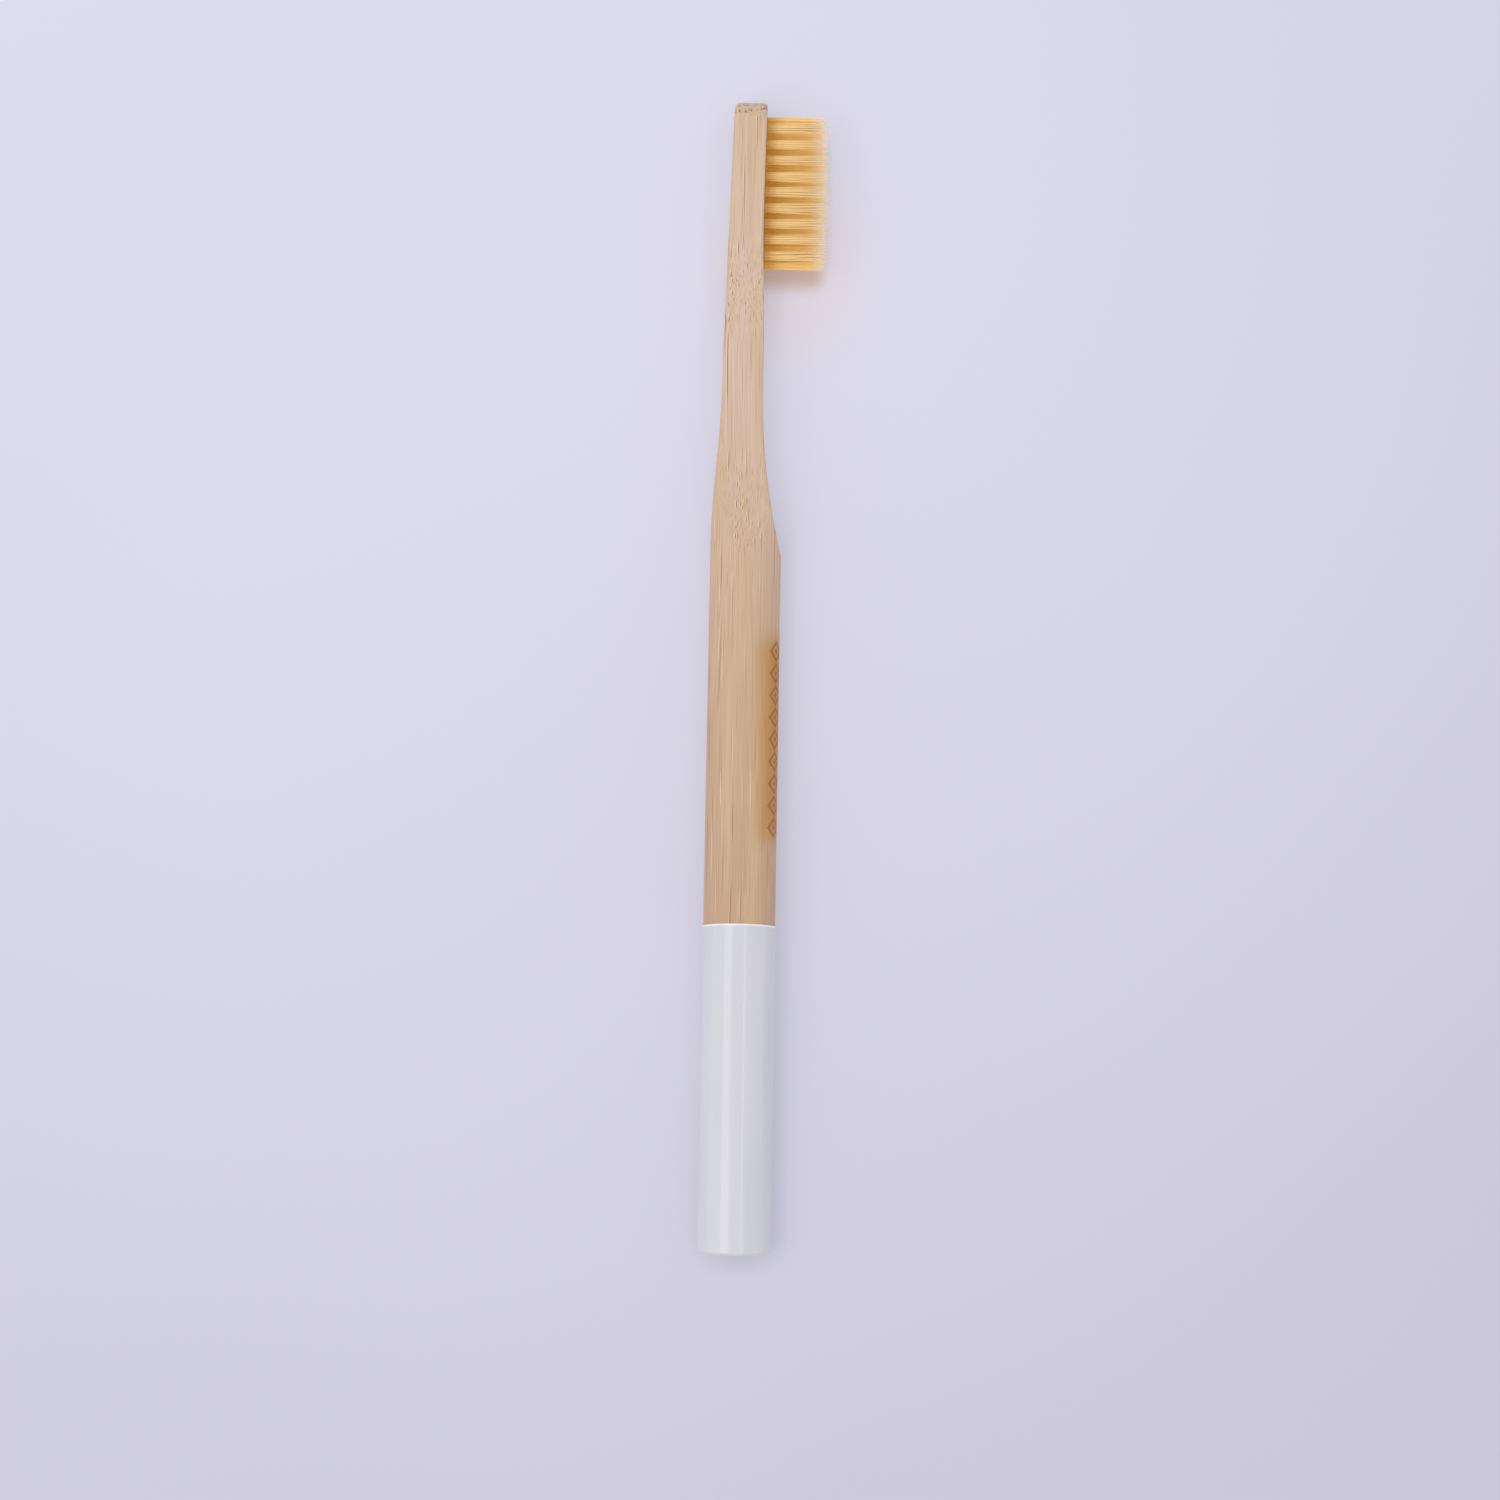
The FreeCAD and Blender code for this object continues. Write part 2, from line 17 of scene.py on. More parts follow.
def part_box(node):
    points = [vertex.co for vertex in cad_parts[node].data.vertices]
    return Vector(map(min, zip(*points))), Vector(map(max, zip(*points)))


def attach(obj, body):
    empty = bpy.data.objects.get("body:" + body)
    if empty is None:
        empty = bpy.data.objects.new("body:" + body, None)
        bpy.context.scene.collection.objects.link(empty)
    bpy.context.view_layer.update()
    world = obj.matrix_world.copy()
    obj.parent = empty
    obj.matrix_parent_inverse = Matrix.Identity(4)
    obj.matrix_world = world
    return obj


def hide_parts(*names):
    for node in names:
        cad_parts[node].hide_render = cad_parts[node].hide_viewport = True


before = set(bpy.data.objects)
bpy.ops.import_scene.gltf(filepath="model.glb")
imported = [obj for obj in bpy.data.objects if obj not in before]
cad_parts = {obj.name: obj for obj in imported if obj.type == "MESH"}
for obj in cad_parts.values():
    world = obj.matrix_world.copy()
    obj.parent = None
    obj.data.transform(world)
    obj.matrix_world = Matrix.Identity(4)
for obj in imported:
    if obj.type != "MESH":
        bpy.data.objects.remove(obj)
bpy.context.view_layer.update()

print("pieces in the solid model:", len(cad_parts))

# %% [markdown]
# ## Where things are
# Everything later hangs on a few places: the handle's long axis, the face that the bristles
# grow out of, and the two ends. They could be typed in, but reading them off the boxes of
# the solids keeps this script true when a size in the model changes.

# %% Read the main places off the solids
MM = 0.001
coat_low, coat_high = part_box("white_dip_coat")
_, handle_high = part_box("bamboo_handle")
AXIS_X = (coat_low[0] + coat_high[0]) / 2
AXIS_Z = (coat_low[2] + coat_high[2]) / 2
COAT_RADIUS = (coat_high[2] - coat_low[2]) / 2
BUTT_Y = coat_low[1]
HEAD_END_Y = handle_high[1]
BRUSH_LENGTH = HEAD_END_Y - BUTT_Y
print(f"axis at x {AXIS_X / MM:.2f} mm, z {AXIS_Z / MM:.2f} mm")
print(f"length {BRUSH_LENGTH / MM:.1f} mm, coat radius {COAT_RADIUS / MM:.2f} mm")

# %% [markdown]
# ## The camera
# The brush is seen from straight above through a long lens, so its two ends hardly lean
# outwards. A camera placed close would bend the round ends into wide smiles. One more than
# a metre away with a narrow view keeps them nearly straight, as they should be.

# %% Hang the camera over the table
PICTURE_PIXELS = 1500
PIXELS_PER_MM = 6.05
SENSOR_MM = 36.0
CAMERA_DISTANCE_MM = 1100.0
CAMERA_ROLL = math.radians(1.0)
FAR_CLIP = 10.0
RIGHT_OF_AXIS_MM = 1.29
PICTURE_MIDDLE_Y_MM = -11.8
PICTURE_MIDDLE = Vector((AXIS_X + RIGHT_OF_AXIS_MM * MM, PICTURE_MIDDLE_Y_MM * MM))

lens = bpy.data.cameras.new("overhead_lens")
lens.sensor_width = SENSOR_MM
lens.lens = PIXELS_PER_MM * SENSOR_MM * CAMERA_DISTANCE_MM / PICTURE_PIXELS
lens.clip_end = FAR_CLIP
camera = bpy.data.objects.new("overhead_camera", lens)
camera.location = (*PICTURE_MIDDLE, AXIS_Z + CAMERA_DISTANCE_MM * MM)
camera.rotation_euler = (0.0, 0.0, CAMERA_ROLL)
bpy.context.scene.collection.objects.link(camera)
bpy.context.scene.camera = camera
print(f"lens {lens.lens:.1f} mm, {CAMERA_DISTANCE_MM * MM:.2f} m above the brush")

# %% [markdown]
# ## Helpers for node materials
# Every finish here is a tree of small nodes. They could be joined one socket at a time, as
# the mouse does it in the editor, but then most lines would only name sockets. So three small
# sets of helpers do that work: the first adds nodes and joins them, the second turns ranges
# and colours into others, and the third says where on the piece a point is, in millimetres.

# %% Helpers that add and join nodes
def new_finish(name):
    """Makes a node material and gives it with its tree and its shader."""
    finish = bpy.data.materials.new(name)
    finish.use_nodes = True
    tree = finish.node_tree
    return finish, tree, tree.nodes["Principled BSDF"]


def fill(tree, socket, value):
    """Joins a socket to another node's output, or writes a plain value into it."""
    if isinstance(value, bpy.types.NodeSocket):
        tree.links.new(value, socket)
    else:
        socket.default_value = value


def fill_named(tree, node, **inputs):
    """Fills or joins a node's inputs by name, with _ for each space."""
    for name, value in inputs.items():
        fill(tree, node.inputs[name.replace("_", " ")], value)


def add(tree, kind, settings=None, **inputs):
    """Adds one node, sets its options, and fills or joins its inputs by name."""
    node = tree.nodes.new(kind)
    for name, value in (settings or {}).items():
        setattr(node, name, value)
    fill_named(tree, node, **inputs)
    return node


def sum_node(tree, operation, first, second=0.0, third=0.0):
    """Does one sum and gives its result."""
    node = add(tree, "ShaderNodeMath", {"operation": operation})
    for socket, value in zip(node.inputs, (first, second, third)):
        fill(tree, socket, value)
    return node.outputs[0]


print("helpers for nodes and sums ready")

# %% Helpers for ranges and colours
def slide(tree, value, low, high, out_low=0.0, out_high=1.0):
    """Takes a value from one range smoothly to another and holds it at both ends."""
    node = add(tree, "ShaderNodeMapRange", {"interpolation_type": "SMOOTHSTEP"},
               Value=value, From_Min=low, From_Max=high, To_Min=out_low, To_Max=out_high)
    return node.outputs[0]


def blend_colours(tree, share, first, second, mode="MIX"):
    """Blends two colours by a share from 0 to 1."""
    node = add(tree, "ShaderNodeMix", {"data_type": "RGBA", "blend_type": mode})
    share_socket, first_socket, second_socket = node.inputs[0], node.inputs[6], node.inputs[7]
    fill(tree, share_socket, share)
    fill(tree, first_socket, first)
    fill(tree, second_socket, second)
    return node.outputs[2]


def paint(tree, below, colour, mask, share):
    """Paints a colour over another where a mask is 1, as strongly as its share."""
    return blend_colours(tree, sum_node(tree, "MULTIPLY", mask, share), below, colour)


def screen_colour(red, green, blue):
    """Turns a colour as a screen shows it, 0 to 255, into the shader's linear one."""
    def straight(part):
        part /= 255.0
        return part / 12.92 if part <= 0.04045 else ((part + 0.055) / 1.055) ** 2.4
    return (straight(red), straight(green), straight(blue), 1.0)


print("helpers for ranges and colours ready")

# %% Helpers for places and stretched patterns
def place_in_mm(tree):
    """Gives the point on the piece in millimetres, whole and split into x, y and z."""
    coordinates = add(tree, "ShaderNodeTexCoord")
    scaled = add(tree, "ShaderNodeVectorMath", {"operation": "SCALE"},
                 Vector=coordinates.outputs["Object"], Scale=1.0 / MM)
    split = add(tree, "ShaderNodeSeparateXYZ", Vector=scaled.outputs[0])
    return scaled.outputs[0], split.outputs[0], split.outputs[1], split.outputs[2]


def stretched(tree, point, across, along, shift=0.0):
    """Stretches a pattern along the brush: its grain is across by along millimetres."""
    node = add(tree, "ShaderNodeMapping", {"vector_type": "POINT"}, Vector=point,
               Location=(shift, 0.0, 0.0), Scale=(1.0 / across, 1.0 / along, 1.0 / across))
    return node.outputs[0]


# Most of a noise lies between these two values.
NOISE_RANGE = (0.3, 0.7)


def long_noise(tree, point, across, along, detail=2.0):
    """Adds a noise whose grain is across by along millimetres."""
    return add(tree, "ShaderNodeTexNoise", Vector=stretched(tree, point, across, along),
               Scale=1.0, Detail=detail)


def square_distance(tree, x, y, middle, reach):
    """Gives the square of the distance from a middle, counted in reaches."""
    squares = []
    for place, start, unit in zip((x, y), middle, reach):
        steps = sum_node(tree, "DIVIDE", sum_node(tree, "SUBTRACT", place, start), unit)
        squares.append(sum_node(tree, "MULTIPLY", steps, steps))
    return sum_node(tree, "ADD", *squares)


print("helpers for places ready")

# %% [markdown]
# ## The table
# The brush lies on a plain pale table with a faint lilac cast. It is a little brighter toward
# the head and the left, and in the middle of the picture. More lamps could make those slow
# changes of light, but they would light the brush too, so they are painted light in the table's
# colour.

# %% Lay the table
TABLE_SIZE = 4.0

table_mesh = bpy.data.meshes.new("table_top")
table_work = bmesh.new()
bmesh.ops.create_grid(table_work, x_segments=1, y_segments=1, size=TABLE_SIZE / 2)
table_work.to_mesh(table_mesh)
table_work.free()
table_top = bpy.data.objects.new("table_top", table_mesh)
bpy.context.scene.collection.objects.link(table_top)
print(f"table of {TABLE_SIZE:.0f} m laid")

# %% Table: painted light, slow changes of its brightness
TABLE_LIGHT = screen_colour(226, 225, 242)
TABLE_DIM = screen_colour(206, 204, 220)
TABLE_FADE_MM = 160.0
FADE_SIDEWAYS = 0.55
CLOUD_SCALE = 0.008
CLOUD_SHIFT_MM = TABLE_FADE_MM / 4

table_finish, tree, table_shader = new_finish("pale_table")
point, x, y, _ = place_in_mm(tree)
clouding = add(tree, "ShaderNodeTexNoise", Vector=point, Scale=CLOUD_SCALE, Detail=2.0)
away = sum_node(tree, "SUBTRACT", sum_node(tree, "MULTIPLY", x, FADE_SIDEWAYS), y)
away = sum_node(tree, "MULTIPLY_ADD", clouding.outputs["Fac"], CLOUD_SHIFT_MM, away)
# Painted light: the table is painted lighter toward the head and the left, and dimmer away from
# them.
painted_falloff = add(tree, "ShaderNodeMapRange", Value=away, From_Min=-TABLE_FADE_MM,
           From_Max=TABLE_FADE_MM).outputs[0]
lilac_and_painted_light = blend_colours(tree, painted_falloff, TABLE_LIGHT, TABLE_DIM)

# The light is a little stronger in the middle of the picture than at its corners.
LIT_MIDDLE = tuple(PICTURE_MIDDLE / MM)
LIT_REACH = (165.0, 165.0)
MIDDLE_LIGHT, CORNER_LIGHT = 1.026, 0.972
from_middle = square_distance(tree, x, y, LIT_MIDDLE, LIT_REACH)
lit = slide(tree, from_middle, 0.0, 1.0, MIDDLE_LIGHT, CORNER_LIGHT)
lilac_and_painted_light = blend_colours(tree, 1.0, lilac_and_painted_light, lit, "MULTIPLY")
print("table colour fades over", 2 * TABLE_FADE_MM, "mm")

# %% [markdown]
# ## Painted warm light and shadow under the bristles
# Light that comes through the golden bristles warms the table: a wide faint haze of painted light,
# and a painted warm shadow close to the tufts. Tracing light through thousands of thin bristles
# would need far more samples than it is worth, so both are soft spots painted into the table's
# colour. The haze is an oval, and the painted shadow fades with the distance from an oblong under
# the tufts.

# %% Table: painted haze of light and painted warm shadow under the bristles
PAINTED_HAZE_LIGHT = screen_colour(255, 212, 150)
HAZE_MIDDLE = (3.0, 68.0)
HAZE_REACH = (12.0, 14.0)
HAZE_RANGE = (0.1, 1.9)
HAZE_SHARE = 0.13
PAINTED_WARM_SHADOW = screen_colour(190, 150, 114)
POOL_MIDDLE = (2.2, 77.2)
POOL_HALF = (4.2, 10.0)
POOL_SHARE = 0.6
POOL_RANGE_MM = (0.3, 4.0)

# Painted light: a faint warm haze of light through the bristles.
from_haze = square_distance(tree, x, y, HAZE_MIDDLE, HAZE_REACH)
painted_haze = slide(tree, from_haze, *HAZE_RANGE, HAZE_SHARE, 0.0)
lilac_and_painted_light = blend_colours(tree, painted_haze, lilac_and_painted_light, PAINTED_HAZE_LIGHT)
# Painted shadow: a deeper warm shadow close under the tufts.
past_sides = []
for place, start, half in zip((x, y), POOL_MIDDLE, POOL_HALF):
    from_start = sum_node(tree, "ABSOLUTE", sum_node(tree, "SUBTRACT", place, start))
    past_sides.append(sum_node(tree, "MAXIMUM", sum_node(tree, "SUBTRACT", from_start, half), 0.0))
past_pool = sum_node(tree, "SQRT", square_distance(tree, *past_sides, (0.0, 0.0), (1.0, 1.0)))
painted_warm_shadow = slide(tree, past_pool, *POOL_RANGE_MM, POOL_SHARE, 0.0)
lilac_and_painted_light = blend_colours(tree, painted_warm_shadow, lilac_and_painted_light, PAINTED_WARM_SHADOW)
fill_named(tree, table_shader, Base_Color=lilac_and_painted_light, Roughness=0.75, Specular_IOR_Level=0.2)
table_mesh.materials.append(table_finish)
print("warm light under the bristles at", POOL_MIDDLE, "mm")

# %% [markdown]
# ## A faint shadow
# In soft light the brush throws a faint shadow that is deeper right beside it. Lit in the plain
# way, a table takes a shadow that is too strong. So most of what the camera sees of the table
# is its plain colour, and the rest is the lit table with its shadow. Close to the brush, on the
# side away from the soft box, an occlusion node takes a part of the plain colour away.

# %% Table: plain colour over the lit one
SHADOW_LIFT = 0.72
NEAR_SHADOW_REACH = 4.8 * MM
NEAR_SHADOW_SHARE = 0.36
OCCLUSION_SAMPLES = 8
LIGHT_SIDE = {"X": -0.5, "Y": 0.55, "Z": 0.67}

path = add(tree, "ShaderNodeLightPath")
mirrored = sum_node(tree, "MAXIMUM", path.outputs["Is Glossy Ray"],
                    path.outputs["Is Transmission Ray"])
seen = sum_node(tree, "MAXIMUM", path.outputs["Is Camera Ray"], mirrored)
toward_light = add(tree, "ShaderNodeCombineXYZ", **LIGHT_SIDE)
occlusion = add(tree, "ShaderNodeAmbientOcclusion", {"samples": OCCLUSION_SAMPLES},
                Distance=NEAR_SHADOW_REACH, Normal=toward_light.outputs[0])
covered = blend_colours(tree, 1.0, lilac_and_painted_light, occlusion.outputs["AO"], "MULTIPLY")
shaded = blend_colours(tree, NEAR_SHADOW_SHARE, lilac_and_painted_light, covered)
plain = add(tree, "ShaderNodeEmission", Color=shaded, Strength=1.0)
veil = add(tree, "ShaderNodeMixShader")
fill(tree, veil.inputs[0], sum_node(tree, "MULTIPLY", seen, SHADOW_LIFT))
fill(tree, veil.inputs[1], table_shader.outputs[0])
fill(tree, veil.inputs[2], plain.outputs[0])
fill_named(tree, tree.nodes["Material Output"], Surface=veil.outputs[0])
print(f"{SHADOW_LIFT:.0%} of the table is seen in its plain colour")

# %% [markdown]
# ## The light
# A wide soft box to the left lights the brush and draws the broad streak along the lacquer. A
# narrow strip to the right adds one thin line beside it. The room fills in the rest, a little
# brighter near the horizon than overhead, so that the round sides don't go dull. One lamp alone
# would leave the far side of the grip flat and grey.

# %% Hang the lamps
# Each lamp's name, place, length along the brush, width across it, power and colour.
LAMPS = (
    ("soft_box_left", (-0.62, 0.0, 1.02), 1.1, 0.5, 3.55, (1.0, 0.985, 0.97)),
    ("strip_right", (0.42, 0.0, 1.12), 1.1, 0.09, 0.95, (1.0, 0.99, 0.98)),
)


def hang_lamp(name, place, along, across, power, colour):
    """Hangs one rectangular lamp that faces the brush's middle."""
    light = bpy.data.lights.new(name, "AREA")
    light.shape = "RECTANGLE"
    light.size = along
    light.size_y = across
    light.energy = power
    light.color = colour
    lamp = bpy.data.objects.new(name, light)
    lamp.location = place
    lamp.rotation_euler = (-Vector(place)).to_track_quat("-Z", "Y").to_euler()
    bpy.context.scene.collection.objects.link(lamp)


for lamp_facts in LAMPS:
    hang_lamp(*lamp_facts)
print(len(LAMPS), "lamps hung")

# %% Light the room
ROOM_COLOUR = (0.96, 0.965, 1.0, 1.0)
HORIZON_STRENGTH = 1.1
ZENITH_STRENGTH = 0.7
ZENITH_HEIGHT = 0.8

room = bpy.data.worlds.new("plain_room")
room.use_nodes = True
room_tree = room.node_tree
direction = add(room_tree, "ShaderNodeTexCoord")
split = add(room_tree, "ShaderNodeSeparateXYZ", Vector=direction.outputs["Generated"])
room_strength = slide(room_tree, split.outputs[2], 0.0, ZENITH_HEIGHT,
                      HORIZON_STRENGTH, ZENITH_STRENGTH)
fill_named(room_tree, room_tree.nodes["Background"], Color=ROOM_COLOUR, Strength=room_strength)
bpy.context.scene.world = room
bpy.context.scene.view_settings.view_transform = "Standard"
print(f"room {HORIZON_STRENGTH} at the horizon, {ZENITH_STRENGTH} overhead")

# %% [markdown]
# ## Bamboo
# Bamboo has no rings: it is pale pith with stiff fibre bundles running along the stem. Where
# the surface runs with the bundles they show as long thin lines, where a scoop cuts across
# them they become short dashes, and on the end they are dots. Painting those marks on each
# face could never fit the edges. So the finish is one solid pattern in space: cells stretched
# many times along the brush, with a thin dark bundle in each, cut by whatever surface
# the handle has.

# %% Bamboo: bundles that wander along the stem
# The pattern was laid out for an axis at this x, so it is moved onto the handle's own axis.
PATTERN_AXIS_X_MM = -3.29
CULM_SHIFT = PATTERN_AXIS_X_MM - AXIS_X / MM
WANDER_GRAIN = (9.0, 45.0)
WANDER_MM = (1.5, 0.0, 1.5)
# Each kind of bundle: its cell across and along in millimetres, then where its core ends and
# where its rim ends, in cells.
THICK_BUNDLE = (0.5, 40.0, 0.14, 0.27)
THIN_BUNDLE = (0.4, 30.0, 0.13, 0.22)
FINE_BUNDLE = (0.3, 22.0, 0.14, 0.32)

bamboo, tree, bamboo_shader = new_finish("oiled_bamboo")
place, x, y, z = place_in_mm(tree)
point = add(tree, "ShaderNodeMapping", {"vector_type": "POINT"}, Vector=place,
            Location=(CULM_SHIFT, 0.0, 0.0)).outputs[0]

# The stem isn't quite straight, so the bundles wander a little as they run.
wander = long_noise(tree, point, *WANDER_GRAIN, detail=1.0)
swing = add(tree, "ShaderNodeVectorMath", {"operation": "MULTIPLY_ADD"})
for socket, value in zip(swing.inputs, (wander.outputs["Color"], WANDER_MM, point)):
    fill(tree, socket, value)
grain_point = swing.outputs[0]


def bundles(tree, kind, shift=0.0):
    """Gives 1 in the core of each fibre bundle and 0 outside its rim."""
    across, along, core, rim = kind
    cells = add(tree, "ShaderNodeTexVoronoi", {"feature": "F1"}, Scale=1.0,
                Vector=stretched(tree, grain_point, across, along, shift))
    return slide(tree, cells.outputs["Distance"], core, rim, 1.0, 0.0)


def mixed_bundles(tree, thick_shift, thin_shift):
    """Gives thick and thin bundles together, each kind moved sideways."""
    return sum_node(tree, "MAXIMUM", bundles(tree, THICK_BUNDLE, thick_shift),
                    bundles(tree, THIN_BUNDLE, thin_shift))


print(f"bundles {THIN_BUNDLE[0]} and {THICK_BUNDLE[0]} mm apart")

# %% Bamboo: where the bundles crowd
# The culm is denser toward its outside, which is the brush's back.
BACK_X, FRONT_X = -9.0, -0.5
FRONT_DENSITY = 0.5
PATCH_GRAIN = (2.2, 16.0)
PATCH_RANGE = (0.4, 0.56)
PATCH_LEAST, PATCH_MOST = 0.15, 1.25
DARK_SHIFTS = (0.0, 7.3)
HIGHLIGHT_SHIFTS = (0.34, 7.61)

density = slide(tree, x, BACK_X, FRONT_X, 1.0, FRONT_DENSITY)
patches = long_noise(tree, point, *PATCH_GRAIN, detail=1.0)
patchy = slide(tree, patches.outputs["Fac"], *PATCH_RANGE, PATCH_LEAST, PATCH_MOST)
crowding = sum_node(tree, "MINIMUM", sum_node(tree, "MULTIPLY", density, patchy), 1.0)
# Beside each dark bundle runs a painted highlight, a pale line a part of a cell away, where the
# groove's edge would catch the light.
dark_lines = sum_node(tree, "MULTIPLY", crowding, mixed_bundles(tree, *DARK_SHIFTS))
painted_highlight_lines = sum_node(tree, "MULTIPLY", crowding, mixed_bundles(tree, *HIGHLIGHT_SHIFTS))
fine_lines = bundles(tree, FINE_BUNDLE)

# On the rounded end of the head the bundles are cut across and show as dots.
END_BUNDLE = (0.55, 40.0, 0.24, 0.4)
END_SHIFT = 0.5
END_DEPTH_MM = 2.2
END_FADE_MM = 0.4
END_CUT_Y = HEAD_END_Y / MM - END_DEPTH_MM
end_dots = sum_node(tree, "MULTIPLY", bundles(tree, END_BUNDLE, END_SHIFT),
                    slide(tree, y, END_CUT_Y, END_CUT_Y + END_FADE_MM))
print(f"bundles are dots past y {END_CUT_Y:.1f} mm")

# %% [markdown]
# ## Colour of the bamboo
# Pith isn't one colour. It is pale and pinkish at the head and browner at the coat, it drifts
# toward honey in long bands, and fine streaks run through it. One noise would make blotches, so
# each of these is a layer of its own, and the lines are painted over them: the fine bundles first,
# then a painted highlight beside each dark bundle, then the dark bundles.

# %% Bamboo: pith, streaks and lines
HEAD_PITH = screen_colour(221, 194, 175)
GRIP_PITH = screen_colour(204, 172, 140)
LOW_PITH = screen_colour(198, 164, 134)
HONEY_PITH = screen_colour(214, 184, 146)
STREAK_BROWN = screen_colour(178, 140, 104)
FIBRE_BROWN = screen_colour(152, 106, 64)
# A pale painted highlight for the edge of each groove that would catch the light.
PAINTED_GROOVE_HIGHLIGHT = screen_colour(236, 213, 184)
END_BROWN = screen_colour(128, 100, 62)
COAT_END_Y, LOW_GRIP_Y, MID_GRIP_Y, NECK_Y = -45.0, -5.0, -10.0, 60.0
DRIFT_GRAIN = (2.6, 60.0)
DRIFT_RANGE = (0.42, 0.68)
HONEY_SHARE = 0.7
STREAK_GRAIN = (0.22, 18.0)
STREAK_RANGE = (0.3, 0.75)
STREAK_SHARE = 0.28

pith = blend_colours(tree, slide(tree, y, COAT_END_Y, LOW_GRIP_Y), LOW_PITH, GRIP_PITH)
pith = blend_colours(tree, slide(tree, y, MID_GRIP_Y, NECK_Y), pith, HEAD_PITH)
drift = long_noise(tree, grain_point, *DRIFT_GRAIN).outputs["Fac"]
honey = slide(tree, drift, *DRIFT_RANGE, 0.0, HONEY_SHARE)
pith = blend_colours(tree, honey, pith, HONEY_PITH)
streaks = long_noise(tree, grain_point, *STREAK_GRAIN).outputs["Fac"]
streaky = slide(tree, streaks, *STREAK_RANGE, 0.0, STREAK_SHARE)
pith = blend_colours(tree, streaky, pith, STREAK_BROWN)

# Each layer's colour, where it lies and how strongly it covers.
LINE_LAYERS = ((FIBRE_BROWN, fine_lines, 0.3), (PAINTED_GROOVE_HIGHLIGHT, painted_highlight_lines, 0.85),
               (FIBRE_BROWN, dark_lines, 0.75), (END_BROWN, end_dots, 0.75))
wood = pith
for colour, mask, share in LINE_LAYERS:
    wood = paint(tree, wood, colour, mask, share)
print(len(LINE_LAYERS), "layers of lines over the pith")

# %% [markdown]
# ## The burnt band
# A band along the grip is burnt into the wood with a beam: brown strokes with a soft scorch
# around them. Here it is a plain row of lozenges. Burnt wood has no thickness to speak of, so
# it belongs in the finish, not in the shape. The strokes follow the round grip, so they are
# drawn by angle round the axis and by length along it.

# %% Burnt band: lozenges drawn round the grip
BAND_MIDDLE_Y = -10.0
BAND_LENGTH = 32.7
BAND_ANGLE = math.radians(66.0)
BAND_RADIUS = 5.85
LOZENGE_COUNT = 9
LOZENGE_HALF_HEIGHT = 2.0
LOZENGE_HALF_PITCH = BAND_LENGTH / LOZENGE_COUNT / 2
OUTLINE_PLACE = 0.82
OUTLINE_RANGE = (0.1, 0.24)
DOT_RANGE = (0.2, 0.36)
BAND_EDGE_MM = 0.1

from_axis_x = sum_node(tree, "SUBTRACT", x, AXIS_X / MM)
from_axis_z = sum_node(tree, "SUBTRACT", z, AXIS_Z / MM)
angle = sum_node(tree, "ARCTAN2", from_axis_x, from_axis_z)
band_across = sum_node(tree, "MULTIPLY", sum_node(tree, "SUBTRACT", angle, BAND_ANGLE),
                       BAND_RADIUS)
band_along = sum_node(tree, "SUBTRACT", y, BAND_MIDDLE_Y)
across_size = sum_node(tree, "ABSOLUTE", band_across)
along_size = sum_node(tree, "ABSOLUTE", band_along)

# Ping-pong folds the length into equal steps: 0 in a lozenge's middle, half a pitch at its ends.
step = sum_node(tree, "PINGPONG", along_size, LOZENGE_HALF_PITCH)
lozenge = sum_node(tree, "ADD", sum_node(tree, "DIVIDE", across_size, LOZENGE_HALF_HEIGHT),
                   sum_node(tree, "DIVIDE", step, LOZENGE_HALF_PITCH))
from_outline = sum_node(tree, "ABSOLUTE", sum_node(tree, "SUBTRACT", lozenge, OUTLINE_PLACE))
outline = slide(tree, from_outline, *OUTLINE_RANGE, 1.0, 0.0)
middle_dot = slide(tree, lozenge, *DOT_RANGE, 1.0, 0.0)
inside_band = slide(tree, along_size, BAND_LENGTH / 2, BAND_LENGTH / 2 + BAND_EDGE_MM, 1.0, 0.0)
stroke = sum_node(tree, "MULTIPLY", sum_node(tree, "MAXIMUM", outline, middle_dot), inside_band)
print("burnt band of", LOZENGE_COUNT, "lozenges")

# %% Burnt band: scorch around the strokes
SCORCH_COLOUR = screen_colour(190, 130, 42)
STROKE_COLOUR = screen_colour(150, 92, 48)
SCORCH_SHARE, STROKE_SHARE = 0.92, 0.8
SCORCH_START, SCORCH_END = 1.0, 6.0
SCORCH_INSIDE, SCORCH_OUTSIDE = 2.5, 3.0
SCORCH_LEAST = 0.8

scorch_across = slide(tree, across_size, SCORCH_START, SCORCH_END, 1.0, 0.0)
scorch_along = slide(tree, along_size, BAND_LENGTH / 2 - SCORCH_INSIDE,
                     BAND_LENGTH / 2 + SCORCH_OUTSIDE, 1.0, 0.0)
uneven = slide(tree, drift, *NOISE_RANGE, SCORCH_LEAST, 1.0)
scorch = sum_node(tree, "MULTIPLY", scorch_across, scorch_along)
scorch = sum_node(tree, "MULTIPLY", scorch, uneven)
wood = paint(tree, wood, SCORCH_COLOUR, scorch, SCORCH_SHARE)
wood = paint(tree, wood, STROKE_COLOUR, stroke, STROKE_SHARE)
print(f"scorch reaches {SCORCH_END:.0f} mm to each side of the band's middle")

# %% [markdown]
# ## Feel of the bamboo
# Sanded and oiled bamboo is satin, not glossy, and the dark bundles stand a hair lower than the
# pith. That depth is far too fine for the mesh, so it is a bump, and the streaks make the gloss
# uneven as well.

# %% Bamboo: surface, then onto the handle
SMOOTHEST, ROUGHEST = 0.5, 0.64
PIT_DEPTH, STREAK_HEIGHT = -0.7, 0.25

